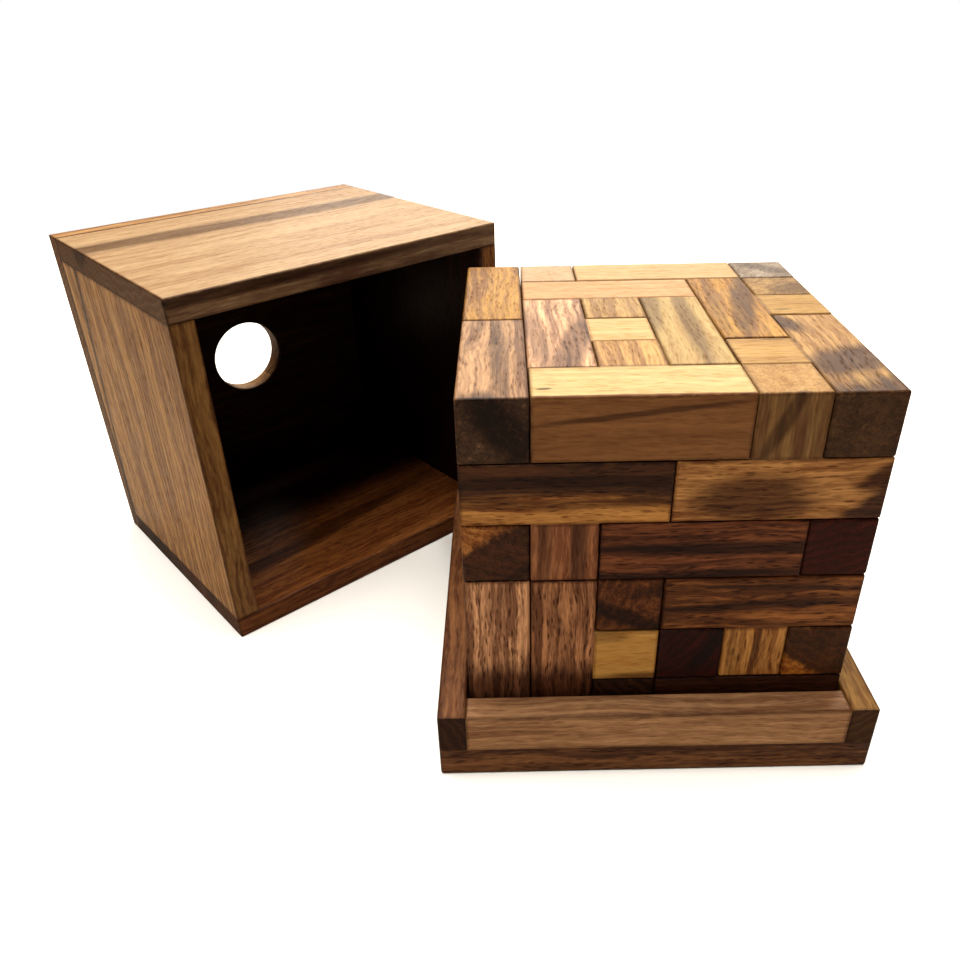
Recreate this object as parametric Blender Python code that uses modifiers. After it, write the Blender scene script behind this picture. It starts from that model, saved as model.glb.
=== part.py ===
"""Boxed packing cube: wooden T pieces that fill a square tray, with the box's cover lying beside it.

Every T is a three-unit bar with a one-unit block glued to the middle of one side. Fifty-four of them fill
a cube six units on a side. The cube stands in a shallow tray of five glued boards. The cover is an open
box of five boards with a round finger hole in its top panel, and it lies on one wall with its mouth
towards the cube.

Metres, +Z up, origin at the centre of the tray's underside, +Y from the front of the cube to its back.
"""

import math
import random

import bmesh
import bpy
from mathutils import Matrix, Vector

# Driving dimensions, in metres.
UNIT = 0.020
UNITS = 6
PIECE_GAP = 0.0003
PIECE_EASE = 0.0007

BOARD = 0.009
BASE_THICK = 0.011
RAIL_HEIGHT = 0.0145
TRAY_PLAY = 0.001
BOARD_EASE = 0.0008
TRAY_OUTER = UNITS * UNIT + 2 * TRAY_PLAY + 2 * BOARD
GLUE_OVERLAP = 0.0001

COVER_OUTER = TRAY_OUTER
COVER_DEPTH = 0.115
COVER_JOINT = 0.0003
FINGER_HOLE_RADIUS = 0.0165
COVER_CORNER = (-0.1542, -0.0008)
COVER_TURN = math.radians(41.5)

# The pieces that show on the cube's top and front: the bar's first unit cell, the direction that the bar
# runs in (0 is +X, 1 is +Y, 2 is +Z), the cell of its block, and the tone of the wood. Cells are counted
# from the front left corner of the tray floor.
SHOWING = (
    ((0, 3, 5), 1, (0, 4, 4), "orange"),
    ((0, 0, 5), 1, (0, 1, 4), "rose"),
    ((1, 0, 5), 0, (2, 1, 5), "straw"),
    ((3, 0, 4), 0, (4, 0, 5), "golden"),
    ((5, 0, 5), 1, (4, 1, 5), "umber"),
    ((1, 1, 5), 1, (2, 2, 5), "rose"),
    ((3, 1, 5), 1, (3, 2, 4), "brown"),
    ((4, 2, 5), 1, (5, 3, 5), "brown"),
    ((1, 4, 5), 0, (2, 3, 5), "straw"),
    ((2, 5, 5), 0, (3, 5, 4), "straw"),
    ((0, 0, 4), 0, (1, 0, 3), "golden"),
    ((2, 0, 3), 0, (3, 1, 3), "brown"),
    ((3, 0, 2), 0, (4, 0, 1), "brown"),
    ((0, 0, 0), 2, (0, 1, 1), "red"),
    ((1, 0, 0), 2, (2, 0, 1), "brown"),
    ((3, 0, 0), 0, (4, 1, 0), "umber"),
)
# Cells that show on their own: the piece touches the top or the front with this cell only.
SHOWING_ALONE = {
    (1, 5, 5): "straw",
    (5, 4, 5): "tan",
    (5, 5, 5): "umber",
    (0, 0, 3): "umber",
    (5, 0, 3): "red",
    (2, 0, 2): "umber",
    (3, 0, 1): "dark",
    (5, 0, 1): "umber",
    (2, 0, 0): "brown",
}
ORDER_SEED = 896
TONE_SEED = 7

# Tone name: colour, roughness.
TONES = {
    "straw": ((0.62, 0.40, 0.20), 0.42),
    "tan": ((0.48, 0.26, 0.13), 0.42),
    "golden": ((0.42, 0.21, 0.08), 0.40),
    "orange": ((0.36, 0.15, 0.06), 0.40),
    "rose": ((0.30, 0.14, 0.09), 0.42),
    "brown": ((0.22, 0.10, 0.05), 0.42),
    "red": ((0.17, 0.06, 0.035), 0.42),
    "umber": ((0.12, 0.065, 0.04), 0.45),
    "dark": ((0.05, 0.025, 0.018), 0.45),
}
HIDDEN_TONES = ("tan", "golden", "orange", "rose", "brown", "red", "umber")

AXES = ((1, 0, 0), (0, 1, 0), (0, 0, 1))
COLLECTION = "boxed_packing_cube"


def step(cell, axis, count=1):
    """Return the cell that lies `count` units along an axis from `cell`."""
    return tuple(cell[i] + count * AXES[axis][i] for i in range(3))


def in_cube(cell):
    """Say whether a cell lies inside the cube."""
    return all(0 <= value < UNITS for value in cell)


def tee(start, axis, block):
    """Return one T as its four cells: the bar's three from its start, and the block."""
    return (start, step(start, axis), step(start, axis, 2), block)


def every_tee():
    """List each way that a T fits in the cube, the bar along each axis and the block on each side."""
    found = []
    for x in range(UNITS):
        for y in range(UNITS):
            for z in range(UNITS):
                for axis in range(3):
                    for side in range(3):
                        if side == axis:
                            continue
                        for way in (-1, 1):
                            cells = tee(step((x, y, z), axis, -1), axis, step((x, y, z), side, way))
                            if all(in_cube(cell) for cell in cells):
                                found.append(cells)
    return found


def shows_at_most_once(cells):
    """Say whether a T touches the top face and the front face with one cell each at most."""
    on_top = sum(1 for cell in cells if cell[2] == UNITS - 1)
    in_front = sum(1 for cell in cells if cell[1] == 0)
    return on_top < 2 and in_front < 2


def fill_cube():
    """Pack the cube around the showing pieces.

    The cell with the fewest ways left is filled first, and the ways are tried in a fixed shuffled order.
    Returns the list of all the pieces, each as four cells.
    """
    shown = [tee(start, axis, block) for start, axis, block, _ in SHOWING]
    taken = {cell for cells in shown for cell in cells}
    ways = [cells for cells in every_tee() if not taken.intersection(cells) and shows_at_most_once(cells)]
    shuffle = random.Random(ORDER_SEED)
    rank = [shuffle.random() for _ in ways]
    at_cell = {}
    for number, cells in enumerate(ways):
        for cell in cells:
            at_cell.setdefault(cell, []).append(number)
    clashes = [set().union(*(at_cell[cell] for cell in cells)) for cells in ways]
    left = {(x, y, z) for x in range(UNITS) for y in range(UNITS) for z in range(UNITS)} - taken
    count = {cell: len(at_cell.get(cell, ())) for cell in left}
    alive = [True] * len(ways)
    chosen = []

    def fill():
        if not left:
            return True
        target = min(left, key=lambda cell: (count[cell], cell))
        for number in sorted((n for n in at_cell.get(target, ()) if alive[n]), key=rank.__getitem__):
            removed = [n for n in clashes[number] if alive[n]]
            for n in removed:
                alive[n] = False
                for cell in ways[n]:
                    count[cell] -= 1
            left.difference_update(ways[number])
            chosen.append(number)
            if all(count[cell] for cell in left) and fill():
                return True
            chosen.pop()
            left.update(ways[number])
            for n in removed:
                alive[n] = True
                for cell in ways[n]:
                    count[cell] += 1
        return False

    if not fill():
        raise RuntimeError("the showing pieces can't be packed")
    return shown + [ways[number] for number in chosen]


def place_words(cells):
    """Describe where a T's bar lies in the cube, as level, depth and side."""
    x, y, z = cells[1]
    words = (("low", "mid", "high")[z // 2], ("front", "centre", "back")[y // 2])
    return "_".join(words + (("left", "middle", "right")[x // 2],))


def named_tees():
    """Return the packed pieces as (name, cells), numbered from the tray floor up."""
    pieces = sorted(fill_cube(), key=lambda cells: (cells[1][2], cells[1][1], cells[1][0], cells[3]))
    return [("tee_%02d_%s" % (n, place_words(cells)), cells) for n, cells in enumerate(pieces, 1)]


def cell_centre(cell):
    """Return the centre of a cell, in metres."""
    half = UNITS / 2
    x, y, z = cell
    return Vector(((x + 0.5 - half) * UNIT, (y + 0.5 - half) * UNIT, BASE_THICK + (z + 0.5) * UNIT))


def clear_scene():
    """Remove every object that is already in the scene."""
    for obj in list(bpy.data.objects):
        bpy.data.objects.remove(obj, do_unlink=True)


def make_collection(name, hidden=False):
    """Make a collection and link it to the scene."""
    collection = bpy.data.collections.new(name)
    bpy.context.scene.collection.children.link(collection)
    collection.hide_render = hidden
    return collection


def make_material(name, color, roughness):
    """Make a plain wood material: colour and roughness, no metal."""
    material = bpy.data.materials.new(name)
    material.use_nodes = True
    shader = material.node_tree.nodes["Principled BSDF"]
    shader.inputs["Base Color"].default_value = (*color, 1.0)
    shader.inputs["Roughness"].default_value = roughness
    shader.inputs["Metallic"].default_value = 0.0
    material.diffuse_color = (*color, 1.0)
    return material


def add_object(name, bm, collection, material=None, parent=None):
    """Turn a bmesh into an object in a collection."""
    bmesh.ops.recalc_face_normals(bm, faces=bm.faces)
    mesh = bpy.data.meshes.new(name)
    bm.to_mesh(mesh)
    bm.free()
    obj = bpy.data.objects.new(name, mesh)
    collection.objects.link(obj)
    obj.parent = parent
    if material:
        mesh.materials.append(material)
    return obj


def ease_edges(obj, width, segments=1):
    """Ease the sharp edges of an object with a narrow chamfer."""
    bevel = obj.modifiers.new("eased_edges", "BEVEL")
    bevel.width = width
    bevel.segments = segments
    bevel.limit_method = "ANGLE"
    bevel.angle_limit = math.radians(40)
    bevel.use_clamp_overlap = True


def board_mesh(low, high):
    """Return a bmesh of a board between two corners."""
    bm = bmesh.new()
    bmesh.ops.create_cube(bm, size=1.0)
    size = Vector(high) - Vector(low)
    bmesh.ops.scale(bm, vec=size, verts=bm.verts)
    bmesh.ops.translate(bm, vec=(Vector(high) + Vector(low)) / 2, verts=bm.verts)
    return bm


def tee_mesh():
    """Return a bmesh of one T: its bar along X, its block towards +Y, centred on the bar's middle unit.

    The bar is a box cut across at the block's two sides, and the block is drawn out of the face between.
    The outer edges are eased, and the two inner corners stay sharp, as the glued pieces leave them.
    """
    half = UNIT / 2 - PIECE_GAP / 2
    end = UNIT * 1.5 - PIECE_GAP / 2
    bm = board_mesh((-end, -half, -half), (end, half, half))
    for side in (-half, half):
        everything = bm.verts[:] + bm.edges[:] + bm.faces[:]
        bmesh.ops.bisect_plane(bm, geom=everything, plane_co=(side, 0, 0), plane_no=(1, 0, 0))
    seat = [face for face in bm.faces if face.normal.y > 0.9 and abs(face.calc_center_median().x) < half / 2]
    made = bmesh.ops.extrude_discrete_faces(bm, faces=seat)
    corners = {vert for face in made["faces"] for vert in face.verts}
    bmesh.ops.translate(bm, vec=(0, end - half, 0), verts=list(corners))
    bmesh.ops.dissolve_limit(bm, angle_limit=math.radians(1), verts=bm.verts, edges=bm.edges)
    bm.normal_update()
    outer = [edge for edge in bm.edges if edge.is_convex and edge.calc_face_angle() > 1.0]
    bmesh.ops.bevel(bm, geom=outer, offset=PIECE_EASE, segments=1, affect="EDGES", clamp_overlap=True)
    return bm


def add_tee(name, cells, collection, material):
    """Add one T, turned so that its bar and its block lie in their cells."""
    bar = cell_centre(cells[2]) - cell_centre(cells[0])
    block = cell_centre(cells[3]) - cell_centre(cells[1])
    across = bar.normalized().cross(block.normalized())
    obj = add_object(name, tee_mesh(), collection, material)
    turn = Matrix((bar.normalized(), block.normalized(), across)).transposed()
    obj.matrix_world = Matrix.Translation(cell_centre(cells[1])) @ turn.to_4x4()
    return obj


def join_boards(target, boards, cutters):
    """Glue boards to a target board, and put them with the hidden tools."""
    for board in boards:
        union = target.modifiers.new("glued_" + board.name, "BOOLEAN")
        union.operation = "UNION"
        union.solver = "EXACT"
        union.object = board
        board.display_type = "WIRE"
        board.hide_render = True
        for collection in list(board.users_collection):
            collection.objects.unlink(board)
        cutters.objects.link(board)


def add_tray(collection, cutters, material):
    """Add the tray: a base board, two side rails of full depth, and front and back rails between them."""
    half = TRAY_OUTER / 2
    inner = half - BOARD
    top = BASE_THICK + RAIL_HEIGHT
    lap = GLUE_OVERLAP
    tray = add_object("tray", board_mesh((-half, -half, 0), (half, half, BASE_THICK)), collection, material)
    ease_edges(tray, BOARD_EASE)
    rails = []
    for name, side in (("left", -1), ("right", 1)):
        near, far = sorted((side * half, side * inner))
        bm = board_mesh((near, -half, BASE_THICK - lap), (far, half, top))
        rails.append(add_object(name + "_rail", bm, collection))
    for name, side in (("front", -1), ("back", 1)):
        near, far = sorted((side * half, side * inner))
        bm = board_mesh((-inner - lap, near, BASE_THICK - lap), (inner + lap, far, top))
        rails.append(add_object(name + "_rail", bm, collection))
    for rail in rails:
        ease_edges(rail, BOARD_EASE * 0.75)
    join_boards(tray, rails, cutters)
    return tray


def cover_boards():
    """Return the cover's walls as (name, low corner, high corner), in the cover's own axes.

    X runs along the mouth, Y from the mouth to the closed panel, Z up from the table.
    """
    full, wall, joint = COVER_OUTER, BOARD, COVER_JOINT
    depth = COVER_DEPTH - wall - joint
    return (
        ("cover_lower_wall", (0, 0, 0), (full, depth, wall)),
        ("cover_upper_wall", (0, 0, full - wall), (full, depth, full)),
        ("cover_left_wall", (0, 0, wall + joint), (wall, depth, full - wall - joint)),
        ("cover_right_wall", (full - wall, 0, wall + joint), (full, depth, full - wall - joint)),
    )


def add_cover(collection, cutters, materials):
    """Add the cover, lying on one wall beside the tray, with its mouth towards the front right."""
    frame = bpy.data.objects.new("cover_frame", None)
    collection.objects.link(frame)
    frame.location = (*COVER_CORNER, 0)
    frame.rotation_euler = (0, 0, COVER_TURN)
    bpy.context.view_layer.update()
    made = []
    for name, low, high in cover_boards():
        wall = add_object(name, board_mesh(low, high), collection, materials[name], frame)
        ease_edges(wall, BOARD_EASE)
        made.append(wall)
    low = (0, COVER_DEPTH - BOARD, 0)
    high = (COVER_OUTER, COVER_DEPTH, COVER_OUTER)
    panel = add_object("cover_top_panel", board_mesh(low, high), collection, materials["cover_top_panel"],
                       frame)
    made.append(panel)

    # A plain cylinder through the panel's middle cuts the finger hole; the bevel then eases its rims too.
    bm = bmesh.new()
    bmesh.ops.create_cone(bm, cap_ends=True, segments=48, radius1=FINGER_HOLE_RADIUS,
                          radius2=FINGER_HOLE_RADIUS, depth=3 * BOARD)
    bmesh.ops.rotate(bm, verts=bm.verts, cent=(0, 0, 0), matrix=Matrix.Rotation(math.pi / 2, 3, "X"))
    middle = (COVER_OUTER / 2, COVER_DEPTH - BOARD / 2, COVER_OUTER / 2)
    bmesh.ops.translate(bm, verts=bm.verts, vec=middle)
    cutter = add_object("finger_hole_cutter", bm, cutters, None, frame)
    cutter.display_type = "WIRE"
    cutter.hide_render = True
    cut = panel.modifiers.new("finger_hole", "BOOLEAN")
    cut.operation = "DIFFERENCE"
    cut.solver = "EXACT"
    cut.object = cutter
    ease_edges(panel, BOARD_EASE)
    return made


def main():
    """Build the whole object."""
    clear_scene()
    collection = make_collection(COLLECTION)
    cutters = make_collection("cutters", hidden=True)

    tray_wood = make_material("tray_wood", (0.24, 0.10, 0.05), 0.42)
    add_tray(collection, cutters, tray_wood)

    cover_colors = {
        "cover_top_panel": (0.30, 0.15, 0.07),
        "cover_upper_wall": (0.46, 0.24, 0.12),
        "cover_lower_wall": (0.26, 0.13, 0.07),
        "cover_left_wall": (0.38, 0.20, 0.09),
        "cover_right_wall": (0.24, 0.12, 0.06),
    }
    materials = {name: make_material(name + "_wood", rgb, 0.42) for name, rgb in cover_colors.items()}
    add_cover(collection, cutters, materials)

    known = {tee(start, axis, block): tone for start, axis, block, tone in SHOWING}
    dice = random.Random(TONE_SEED)
    for name, cells in named_tees():
        spare = dice.choice(HIDDEN_TONES)
        alone = [SHOWING_ALONE[cell] for cell in cells if cell in SHOWING_ALONE]
        tone = known.get(cells, alone[0] if alone else spare)
        color, roughness = TONES[tone]
        add_tee(name, cells, collection, make_material(name + "_wood", color, roughness))
    bpy.context.view_layer.update()


if __name__ == "__main__":
    main()
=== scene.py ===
"""Looks of the boxed packing cube: wooden T pieces in a shallow tray, and the box cover beside it.

Every visible piece is one stick, block or board of oiled hardwood. It is modelled here with its eased
edges, rides on the body that carries it, and is dressed from a few wood finishes. A finish mixes pale
sapwood and dark heartwood, and each piece says where its own heartwood, streaks and knots lie.
Shade is also painted into the wood: a dark rim along every eased edge, and darker patches, tints
and heartwood on the cube's bottom row, the top of the tray's front rail and the inside of the cover.
"""

from __future__ import annotations

import itertools
import logging
import math
import random
from collections.abc import Callable, Iterator
from contextlib import contextmanager
from dataclasses import dataclass, field
from enum import Enum

import bpy
from mathutils import Matrix, Vector


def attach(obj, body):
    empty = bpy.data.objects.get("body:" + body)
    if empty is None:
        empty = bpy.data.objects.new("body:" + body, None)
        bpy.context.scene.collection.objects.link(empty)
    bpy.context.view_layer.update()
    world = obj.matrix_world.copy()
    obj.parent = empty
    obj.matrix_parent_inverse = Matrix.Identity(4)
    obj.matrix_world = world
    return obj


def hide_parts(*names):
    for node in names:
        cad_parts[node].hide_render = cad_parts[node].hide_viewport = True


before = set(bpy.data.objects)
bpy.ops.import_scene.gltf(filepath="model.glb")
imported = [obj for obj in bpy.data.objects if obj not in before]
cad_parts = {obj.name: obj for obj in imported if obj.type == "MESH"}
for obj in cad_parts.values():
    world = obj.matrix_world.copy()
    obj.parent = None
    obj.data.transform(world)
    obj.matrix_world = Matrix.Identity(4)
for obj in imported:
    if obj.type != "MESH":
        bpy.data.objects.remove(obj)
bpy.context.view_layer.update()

logger = logging.getLogger("packing_cube")

Color = tuple[float, float, float]
Triple = tuple[float, float, float]
Cell = tuple[int, int, int]
Socket = bpy.types.NodeSocket
# Takes an edge's middle and its direction, and says whether the edge is picked.
EdgeTest = Callable[[Vector, Vector], bool]

UNIT = 0.020  # the square stock that the T pieces are cut from
UNITS = 6  # how many units the cube is along each side
PIECE_GAP = 0.0003
BASE_THICK = 0.011  # the tray's base board
BOARD = 0.009  # every other board
MM = 0.001
TOUCH = 1e-4  # what lies closer to a plane than this is on it
SHARP = math.radians(40)  # edges that turn more than this can be rounded off
SMOOTH = math.radians(35)  # edges that turn less than this are shaded smooth
SQUARE = 0.9999  # how nearly a sawn face's normal lies along an axis
FAR = 9.0  # a place outside every spot, in the spot's own measure


def cell_point(place: Triple) -> Vector:
    """Turn a place in the cube, in units from its front left floor corner, into metres.

    Args:
        place: right, back and up, in units.

    Returns:
        The point in the row's frame.
    """
    half = UNITS / 2
    x, y, z = place
    return Vector(((x - half) * UNIT, (y - half) * UNIT, BASE_THICK + z * UNIT))


# ------------------------------------------------------------------------------------------ finishes


class Tone(Enum):
    """The woods that the pieces are cut from, palest first."""

    STRAW = "straw_sapwood"
    PEACH = "peach_sapwood"
    TAN = "tan_wood"
    GOLDEN = "golden_wood"
    ORANGE = "orange_wood"
    ROSE = "rose_wood"
    BROWN = "brown_heartwood"
    RED = "red_heartwood"
    UMBER = "umber_heartwood"


@dataclass(frozen=True)
class WoodFinish:
    """One wood with its oil finish: the colours of its sapwood and heartwood, and how coarse it is."""

    tone: Tone
    sap_light: Color
    sap_dark: Color
    heart_light: Color
    heart_dark: Color
    streaks: float = 0.6
    pores: float = 0.6
    fibre: float = 0.5
    ring_pitch: float = 3.2
    pore_spacing: float = 1.0
    roughness: float = 0.42


FINISHES: dict[Tone, WoodFinish] = {
    finish.tone: finish
    for finish in (
        WoodFinish(Tone.STRAW, (0.60, 0.42, 0.16), (0.44, 0.24, 0.07), (0.32, 0.13, 0.038),
                   (0.17, 0.055, 0.014), streaks=0.5, pores=0.25, fibre=0.45),
        WoodFinish(Tone.PEACH, (0.56, 0.34, 0.15), (0.32, 0.15, 0.055), (0.20, 0.08, 0.035),
                   (0.08, 0.03, 0.015), streaks=0.6, pores=0.20),
        WoodFinish(Tone.TAN, (0.50, 0.27, 0.11), (0.21, 0.09, 0.034), (0.11, 0.045, 0.022),
                   (0.045, 0.019, 0.011), streaks=0.8, pores=0.35),
        WoodFinish(Tone.GOLDEN, (0.58, 0.29, 0.09), (0.20, 0.07, 0.018), (0.09, 0.032, 0.013),
                   (0.03, 0.011, 0.006), streaks=0.8, pores=0.75),
        WoodFinish(Tone.ORANGE, (0.54, 0.26, 0.088), (0.19, 0.07, 0.022), (0.11, 0.04, 0.017),
                   (0.04, 0.015, 0.008), streaks=0.9, pores=0.40),
        WoodFinish(Tone.ROSE, (0.46, 0.23, 0.12), (0.14, 0.058, 0.030), (0.10, 0.042, 0.024),
                   (0.04, 0.018, 0.012), streaks=0.85, pores=0.42),
        WoodFinish(Tone.BROWN, (0.42, 0.19, 0.085), (0.10, 0.036, 0.015), (0.08, 0.03, 0.015),
                   (0.03, 0.011, 0.006), streaks=1.0, pores=0.95),
        WoodFinish(Tone.RED, (0.26, 0.09, 0.038), (0.09, 0.027, 0.011), (0.06, 0.018, 0.009),
                   (0.022, 0.007, 0.004), streaks=0.8, pores=0.8),
        WoodFinish(Tone.UMBER, (0.20, 0.09, 0.048), (0.055, 0.021, 0.011), (0.045, 0.018, 0.010),
                   (0.016, 0.006, 0.004), streaks=0.9, pores=0.8),
    )
}


@dataclass(frozen=True)
class Heart:
    """Where heartwood begins: it fills the side of a plane that the normal points to. On two of the cover's
    boards it is painted shade on the inner face.

    Attributes:
        normal: points into the heartwood.
        place: a point on the plane, in the cube's units.
        firm: how closely the boundary keeps to the plane; above 1 it wanders less and is sharper.
    """

    normal: Triple
    place: Triple
    firm: float = 1.0


@dataclass(frozen=True)
class Spot:
    """A knot, blotch, dark streak or patch of painted shade: an ellipsoid in which the wood is darker.

    Attributes:
        place: its middle, in the cube's units.
        along: the way that its long axis points.
        reach: how far it reaches along that axis and across it, in units.
        depth: how dark it is, from 0 to 1.
    """

    place: Triple
    along: Triple
    reach: tuple[float, float]
    depth: float = 0.8


@dataclass(frozen=True)
class Timber:
    """The stuff that one piece is cut from.

    Attributes:
        tone: the wood.
        tint: what the wood's colour is multiplied by.
        heart: where its heartwood lies, if any shows; on two cover boards it is painted shade.
        spots: its knots, blotches, dark streaks and patches of painted shade, two at most.
        ends: how much its end grain darkens under the oil.
        log: which stretch of the log it comes from; two pieces with the same number have one figure.
    """

    tone: Tone
    tint: Color = (1.0, 1.0, 1.0)
    heart: Heart | None = None
    spots: tuple[Spot, ...] = ()
    ends: float = 1.0
    log: int = 0


# ------------------------------------------------------------------------------------------ materials


@dataclass
class Wiring:
    """Small helper that adds nodes to a tree and links them."""

    tree: bpy.types.NodeTree
    column: int = 0

    def node(self, kind: str, **settings: object) -> bpy.types.Node:
        """Add a node and set its properties.

        Args:
            kind: the node's type name.
            settings: its properties by name.

        Returns:
            The node.
        """
        made = self.tree.nodes.new(kind)
        made.location = (180 * (self.column % 12), -220 * (self.column // 12))
        self.column += 1
        for name, value in settings.items():
            setattr(made, name, value)
        return made

    def feed(self, socket: Socket, value: object) -> None:
        """Link a socket, or set its own value where a plain value is given."""
        if isinstance(value, Socket):
            self.tree.links.new(value, socket)
        else:
            socket.default_value = value

    def math(self, operation: str, *values: object, clamp: bool = False) -> Socket:
        """Add a Math node.

        Args:
            operation: the node's operation.
            values: what feeds its inputs, in order.
            clamp: keeps the result between 0 and 1.

        Returns:
            Its output.
        """
        made = self.node("ShaderNodeMath", operation=operation, use_clamp=clamp)
        for socket, value in zip(made.inputs, values):
            self.feed(socket, value)
        return made.outputs[0]

    def times(self, first: object, second: object) -> Socket:
        """Multiply two numbers."""
        return self.math("MULTIPLY", first, second)

    def plus(self, first: object, second: object, clamp: bool = False) -> Socket:
        """Add two numbers."""
        return self.math("ADD", first, second, clamp=clamp)

    def minus(self, first: object, second: object) -> Socket:
        """Take the second number from the first."""
        return self.math("SUBTRACT", first, second)

    def times_plus(self, value: object, factor: object, base: object, clamp: bool = False) -> Socket:
        """Multiply a number by a factor and add a base."""
        return self.math("MULTIPLY_ADD", value, factor, base, clamp=clamp)

    def vector(self, operation: str, *values: object) -> Socket:
        """Add a Vector Math node.

        Args:
            operation: the node's operation.
            values: what feeds its inputs, in order.

        Returns:
            Its number output for LENGTH, or its vector output.
        """
        made = self.node("ShaderNodeVectorMath", operation=operation)
        for socket, value in zip(made.inputs, values):
            self.feed(socket, value)
        return made.outputs["Value" if operation == "LENGTH" else "Vector"]

    def stretch(self, vector: object, by: Triple) -> Socket:
        """Scale a vector by a factor for each axis."""
        return self.vector("MULTIPLY", vector, by)

    def scale(self, vector: object, by: float) -> Socket:
        """Scale a vector evenly."""
        made = self.node("ShaderNodeVectorMath", operation="SCALE")
        self.feed(made.inputs[0], vector)
        made.inputs["Scale"].default_value = by
        return made.outputs["Vector"]

    def split(self, vector: object) -> bpy.types.bpy_prop_collection:
        """Split a vector and return its X, Y and Z outputs."""
        made = self.node("ShaderNodeSeparateXYZ")
        self.feed(made.inputs[0], vector)
        return made.outputs

    def mix(self, share: object, first: object, second: object, blend: str = "MIX") -> Socket:
        """Mix two colours.

        Args:
            share: how much of the second goes in, from 0 to 1.
            first: the first colour.
            second: the second colour.
            blend: the way that they are mixed.

        Returns:
            The mixed colour.
        """
        made = self.node("ShaderNodeMix", data_type="RGBA", blend_type=blend)
        self.feed(made.inputs[0], share)
        self.feed(made.inputs[6], first)
        self.feed(made.inputs[7], second)
        return made.outputs[2]

    def darken(self, share: object, color: object, shade: Color) -> Socket:
        """Multiply a colour by a shade, as far as the share says."""
        return self.mix(share, color, self.mix(1.0, color, (*shade, 1.0), "MULTIPLY"))

    def ramp(self, value: object, low: float, high: float) -> Socket:
        """Rise smoothly from 0 at `low` to 1 at `high`.

        Args:
            value: the number.
            low: where it starts to count.
            high: where it counts in full.

        Returns:
            The share, from 0 to 1.
        """
        made = self.node("ShaderNodeMapRange", interpolation_type="SMOOTHSTEP")
        self.feed(made.inputs[0], value)
        made.inputs[1].default_value = low
        made.inputs[2].default_value = high
        return made.outputs[0]

    def noise(self, vector: object, scale: float, detail: float = 2.0, rough: float = 0.5) -> bpy.types.Node:
        """Add a Noise Texture.

        Args:
            vector: where it is read.
            scale: how fine it is.
            detail: how many finer octaves it has.
            rough: how strong the finer octaves are.

        Returns:
            The node.
        """
        made = self.node("ShaderNodeTexNoise")
        self.feed(made.inputs["Vector"], vector)
        made.inputs["Scale"].default_value = scale
        made.inputs["Detail"].default_value = detail
        made.inputs["Roughness"].default_value = rough
        return made

    def cells(self, vector: object) -> Socket:
        """Add a Voronoi Texture and return the distance to the nearest cell's middle."""
        made = self.node("ShaderNodeTexVoronoi", feature="F1")
        self.feed(made.inputs["Vector"], vector)
        made.inputs["Scale"].default_value = 1.0
        return made.outputs["Distance"]


def new_group(name: str, inputs: dict[str, float | Triple],
              outputs: tuple[str, ...]) -> tuple[Wiring, dict, dict]:
    """Make a shader node group with named inputs, and outputs that are all numbers.

    Args:
        name: the group's name.
        inputs: each input's default, a number or a vector.
        outputs: the outputs' names.

    Returns:
        The group's wiring, its inputs inside the group by name, and its output sockets by name.
    """
    group = bpy.data.node_groups.new(name, "ShaderNodeTree")
    for label, default in inputs.items():
        kind = "NodeSocketVector" if isinstance(default, tuple) else "NodeSocketFloat"
        socket = group.interface.new_socket(name=label, in_out="INPUT", socket_type=kind)
        socket.default_value = default
    for label in outputs:
        group.interface.new_socket(name=label, in_out="OUTPUT", socket_type="NodeSocketFloat")
    wiring = Wiring(group)
    entry = wiring.node("NodeGroupInput")
    leave = wiring.node("NodeGroupOutput")
    return wiring, {s.name: s for s in entry.outputs if s.name}, {s.name: s for s in leave.inputs if s.name}


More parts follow.
